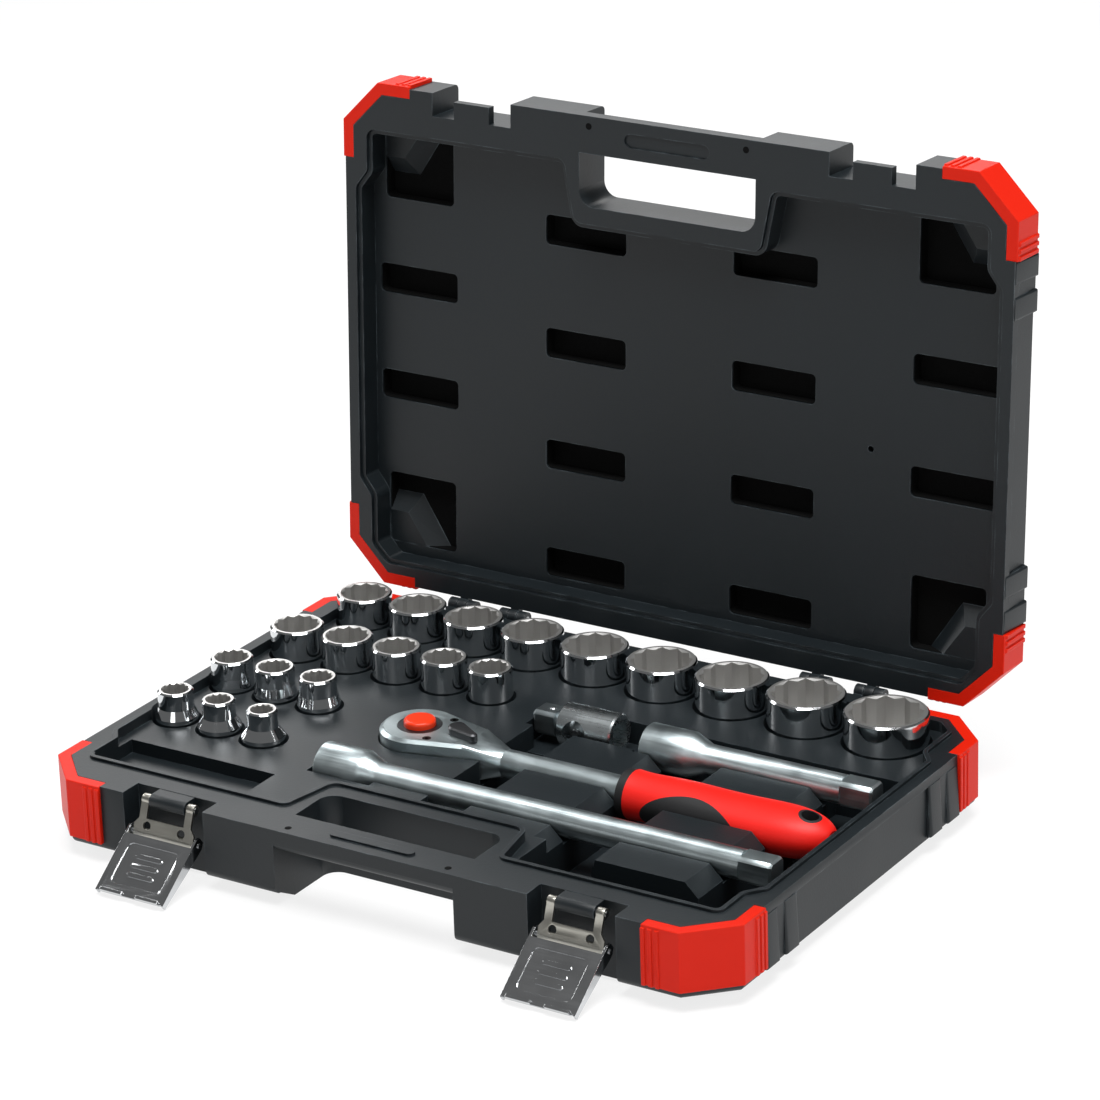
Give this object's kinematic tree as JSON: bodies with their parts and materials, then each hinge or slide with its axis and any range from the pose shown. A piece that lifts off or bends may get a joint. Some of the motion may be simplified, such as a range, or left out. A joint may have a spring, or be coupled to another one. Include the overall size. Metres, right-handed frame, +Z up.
{
  "type": "socket wrench set in case",
  "caption": "Hinged plastic case with latches and red corner guards, holding a ratchet, sockets, extension bars and a universal joint in a moulded tray.",
  "frame": {"origin": "middle of the base's flat underside", "axes": "+X along the front edge to the right, +Y from the handle towards the hinges, +Z up"},
  "size_m": [0.384, 0.3394, 0.311],
  "materials": {
    "case_plastic": "satin, fine grain",
    "liner_plastic": "satin, fine grain",
    "guard_red": "satin",
    "steel_pin": "plain",
    "latch_nickel": "matt nickel",
    "latch_bright": "bright pressed steel",
    "socket_chrome": "mirror chrome",
    "satin_chrome": "satin chrome",
    "dark_steel": "phosphated",
    "black_screw": "black oxide",
    "button_red": "gloss",
    "grip_black": "matt",
    "grip_red": "matt"
  },
  "bodies": {
    "case_base": {"base_shell": "case_plastic", "tool_tray": "liner_plastic", "base_guard_front_left": "guard_red", "base_guard_front_right": "guard_red", "base_guard_rear_left": "guard_red", "base_guard_rear_right": "guard_red", "hinge_pins": "steel_pin", "latch_pivot_pins": "steel_pin"},
    "lid": {"lid_shell": "case_plastic", "lid_liner": "liner_plastic", "lid_guard_front_left": "guard_red", "lid_guard_front_right": "guard_red", "lid_guard_rear_left": "guard_red", "lid_guard_rear_right": "guard_red"},
    "latch_left": {"latch_bracket_left": "latch_nickel", "latch_lever_pin_left": "steel_pin"},
    "latch_lever_left": {"latch_lever_left": "latch_bright"},
    "latch_right": {"latch_bracket_right": "latch_nickel", "latch_lever_pin_right": "steel_pin"},
    "latch_lever_right": {"latch_lever_right": "latch_bright"},
    "ratchet": {"ratchet_body": "satin_chrome", "cover_plate": "satin_chrome", "cover_screws": "black_screw", "grip_core": "grip_black", "grip_overmould": "grip_red"},
    "ratchet_drive": {"drive_gear": "dark_steel", "drive_ball": "steel_pin", "release_spring": "steel_pin"},
    "ratchet_button": {"release_button": "button_red"},
    "ratchet_selector": {"reversing_lever": "dark_steel"},
    "ratchet_pawl": {"pawl": "dark_steel"},
    "joint_sleeve": {"joint_sleeve": "socket_chrome"},
    "joint_pin": {"joint_pin": "dark_steel"},
    "joint_drive": {"joint_drive": "dark_steel", "joint_drive_ball": "steel_pin"},
    "extension_250": {"extension_250": "satin_chrome", "extension_250_ball": "steel_pin"},
    "extension_125": {"extension_125": "satin_chrome", "extension_125_ball": "steel_pin"},
    "socket_10": {"socket_10": "socket_chrome"},
    "socket_11": {"socket_11": "socket_chrome"},
    "socket_12": {"socket_12": "socket_chrome"},
    "socket_13": {"socket_13": "socket_chrome"},
    "socket_14": {"socket_14": "socket_chrome"},
    "socket_15": {"socket_15": "socket_chrome"},
    "socket_16": {"socket_16": "socket_chrome"},
    "socket_17": {"socket_17": "socket_chrome"},
    "socket_18": {"socket_18": "socket_chrome"},
    "socket_19": {"socket_19": "socket_chrome"},
    "socket_20": {"socket_20": "socket_chrome"},
    "socket_21": {"socket_21": "socket_chrome"},
    "socket_22": {"socket_22": "socket_chrome"},
    "socket_23": {"socket_23": "socket_chrome"},
    "socket_24": {"socket_24": "socket_chrome"},
    "socket_26": {"socket_26": "socket_chrome"},
    "socket_27": {"socket_27": "socket_chrome"},
    "socket_28": {"socket_28": "socket_chrome"},
    "socket_30": {"socket_30": "socket_chrome"},
    "socket_32": {"socket_32": "socket_chrome"}
  },
  "joints": [
    {"name": "lid_hinge", "type": "hinge", "parent": "case_base", "child": "lid", "pos_m": [0, 0.13685, 0.0402], "axis": [-1, 0, 0], "range_deg": [-93.2, 0]},
    {"name": "latch_left_pivot", "type": "hinge", "parent": "case_base", "child": "latch_left", "pos_m": [-0.1134, -0.1265, 0.0364], "axis": [-1, 0, 0], "range_deg": [0, 155]},
    {"name": "latch_left_lever", "type": "hinge", "parent": "latch_left", "child": "latch_lever_left", "pos_m": [-0.1134, -0.13197, 0.02136], "axis": [-1, 0, 0], "range_deg": [-208, 0]},
    {"name": "latch_right_pivot", "type": "hinge", "parent": "case_base", "child": "latch_right", "pos_m": [0.1134, -0.1265, 0.0364], "axis": [-1, 0, 0], "range_deg": [0, 155]},
    {"name": "latch_right_lever", "type": "hinge", "parent": "latch_right", "child": "latch_lever_right", "pos_m": [0.1134, -0.13197, 0.02136], "axis": [-1, 0, 0], "range_deg": [-208, 0]},
    {"name": "ratchet_lift", "type": "slide", "parent": "case_base", "child": "ratchet", "axis": [0, 0, 1], "range_m": [0, 0.06]},
    {"name": "ratchet_drive_turn", "type": "hinge", "parent": "ratchet", "child": "ratchet_drive", "pos_m": [-0.053, -0.004, 0.0325], "axis": [0, 0, 1], "continuous": true},
    {"name": "ratchet_button_press", "type": "slide", "parent": "ratchet_drive", "child": "ratchet_button", "axis": [0, 0, 1], "range_m": [-0.0025, 0], "stiffness_N_per_m": 400, "springref_m": 0.0005, "deforming": ["release_spring"]},
    {"name": "ratchet_selector_turn", "type": "hinge", "parent": "ratchet", "child": "ratchet_selector", "pos_m": [-0.031, -0.004, 0.0425], "axis": [0, 0, 1], "range_deg": [0, 44]},
    {"name": "ratchet_pawl_turn", "type": "hinge", "parent": "ratchet", "child": "ratchet_pawl", "pos_m": [-0.031, -0.004, 0.0343], "axis": [0, 0, 1], "range_deg": [0, 30]},
    {"name": "joint_sleeve_lift", "type": "slide", "parent": "case_base", "child": "joint_sleeve", "axis": [0, 0, 1], "range_m": [0, 0.06]},
    {"name": "joint_swing", "type": "hinge", "parent": "joint_sleeve", "child": "joint_pin", "pos_m": [0.0105, 0.0455, 0.0348], "axis": [0, 0, 1], "range_deg": [-12, 12]},
    {"name": "joint_tilt", "type": "hinge", "parent": "joint_pin", "child": "joint_drive", "pos_m": [0.0105, 0.0455, 0.0348], "axis": [0, 1, 0], "range_deg": [0, 15]},
    {"name": "extension_250_lift", "type": "slide", "parent": "case_base", "child": "extension_250", "axis": [0, 0, 1], "range_m": [0, 0.06]},
    {"name": "extension_125_lift", "type": "slide", "parent": "case_base", "child": "extension_125", "axis": [0, 0, 1], "range_m": [0, 0.06]},
    {"name": "socket_10_lift", "type": "slide", "parent": "case_base", "child": "socket_10", "axis": [0, 0, 1], "range_m": [0, 0.06]},
    {"name": "socket_11_lift", "type": "slide", "parent": "case_base", "child": "socket_11", "axis": [0, 0, 1], "range_m": [0, 0.06]},
    {"name": "socket_12_lift", "type": "slide", "parent": "case_base", "child": "socket_12", "axis": [0, 0, 1], "range_m": [0, 0.06]},
    {"name": "socket_13_lift", "type": "slide", "parent": "case_base", "child": "socket_13", "axis": [0, 0, 1], "range_m": [0, 0.06]},
    {"name": "socket_14_lift", "type": "slide", "parent": "case_base", "child": "socket_14", "axis": [0, 0, 1], "range_m": [0, 0.06]},
    {"name": "socket_15_lift", "type": "slide", "parent": "case_base", "child": "socket_15", "axis": [0, 0, 1], "range_m": [0, 0.06]},
    {"name": "socket_16_lift", "type": "slide", "parent": "case_base", "child": "socket_16", "axis": [0, 0, 1], "range_m": [0, 0.06]},
    {"name": "socket_17_lift", "type": "slide", "parent": "case_base", "child": "socket_17", "axis": [0, 0, 1], "range_m": [0, 0.06]},
    {"name": "socket_18_lift", "type": "slide", "parent": "case_base", "child": "socket_18", "axis": [0, 0, 1], "range_m": [0, 0.06]},
    {"name": "socket_19_lift", "type": "slide", "parent": "case_base", "child": "socket_19", "axis": [0, 0, 1], "range_m": [0, 0.06]},
    {"name": "socket_20_lift", "type": "slide", "parent": "case_base", "child": "socket_20", "axis": [0, 0, 1], "range_m": [0, 0.06]},
    {"name": "socket_21_lift", "type": "slide", "parent": "case_base", "child": "socket_21", "axis": [0, 0, 1], "range_m": [0, 0.06]},
    {"name": "socket_22_lift", "type": "slide", "parent": "case_base", "child": "socket_22", "axis": [0, 0, 1], "range_m": [0, 0.06]},
    {"name": "socket_23_lift", "type": "slide", "parent": "case_base", "child": "socket_23", "axis": [0, 0, 1], "range_m": [0, 0.06]},
    {"name": "socket_24_lift", "type": "slide", "parent": "case_base", "child": "socket_24", "axis": [0, 0, 1], "range_m": [0, 0.06]},
    {"name": "socket_26_lift", "type": "slide", "parent": "case_base", "child": "socket_26", "axis": [0, 0, 1], "range_m": [0, 0.06]},
    {"name": "socket_27_lift", "type": "slide", "parent": "case_base", "child": "socket_27", "axis": [0, 0, 1], "range_m": [0, 0.06]},
    {"name": "socket_28_lift", "type": "slide", "parent": "case_base", "child": "socket_28", "axis": [0, 0, 1], "range_m": [0, 0.06]},
    {"name": "socket_30_lift", "type": "slide", "parent": "case_base", "child": "socket_30", "axis": [0, 0, 1], "range_m": [0, 0.06]},
    {"name": "socket_32_lift", "type": "slide", "parent": "case_base", "child": "socket_32", "axis": [0, 0, 1], "range_m": [0, 0.06]}
  ],
  "couplings": [
    {"joint": "latch_left_lever", "follows": "latch_left_pivot", "ratio": -1.34},
    {"joint": "latch_right_lever", "follows": "latch_right_pivot", "ratio": -1.34},
    {"joint": "ratchet_pawl_turn", "follows": "ratchet_selector_turn", "ratio": 0.68}
  ]
}
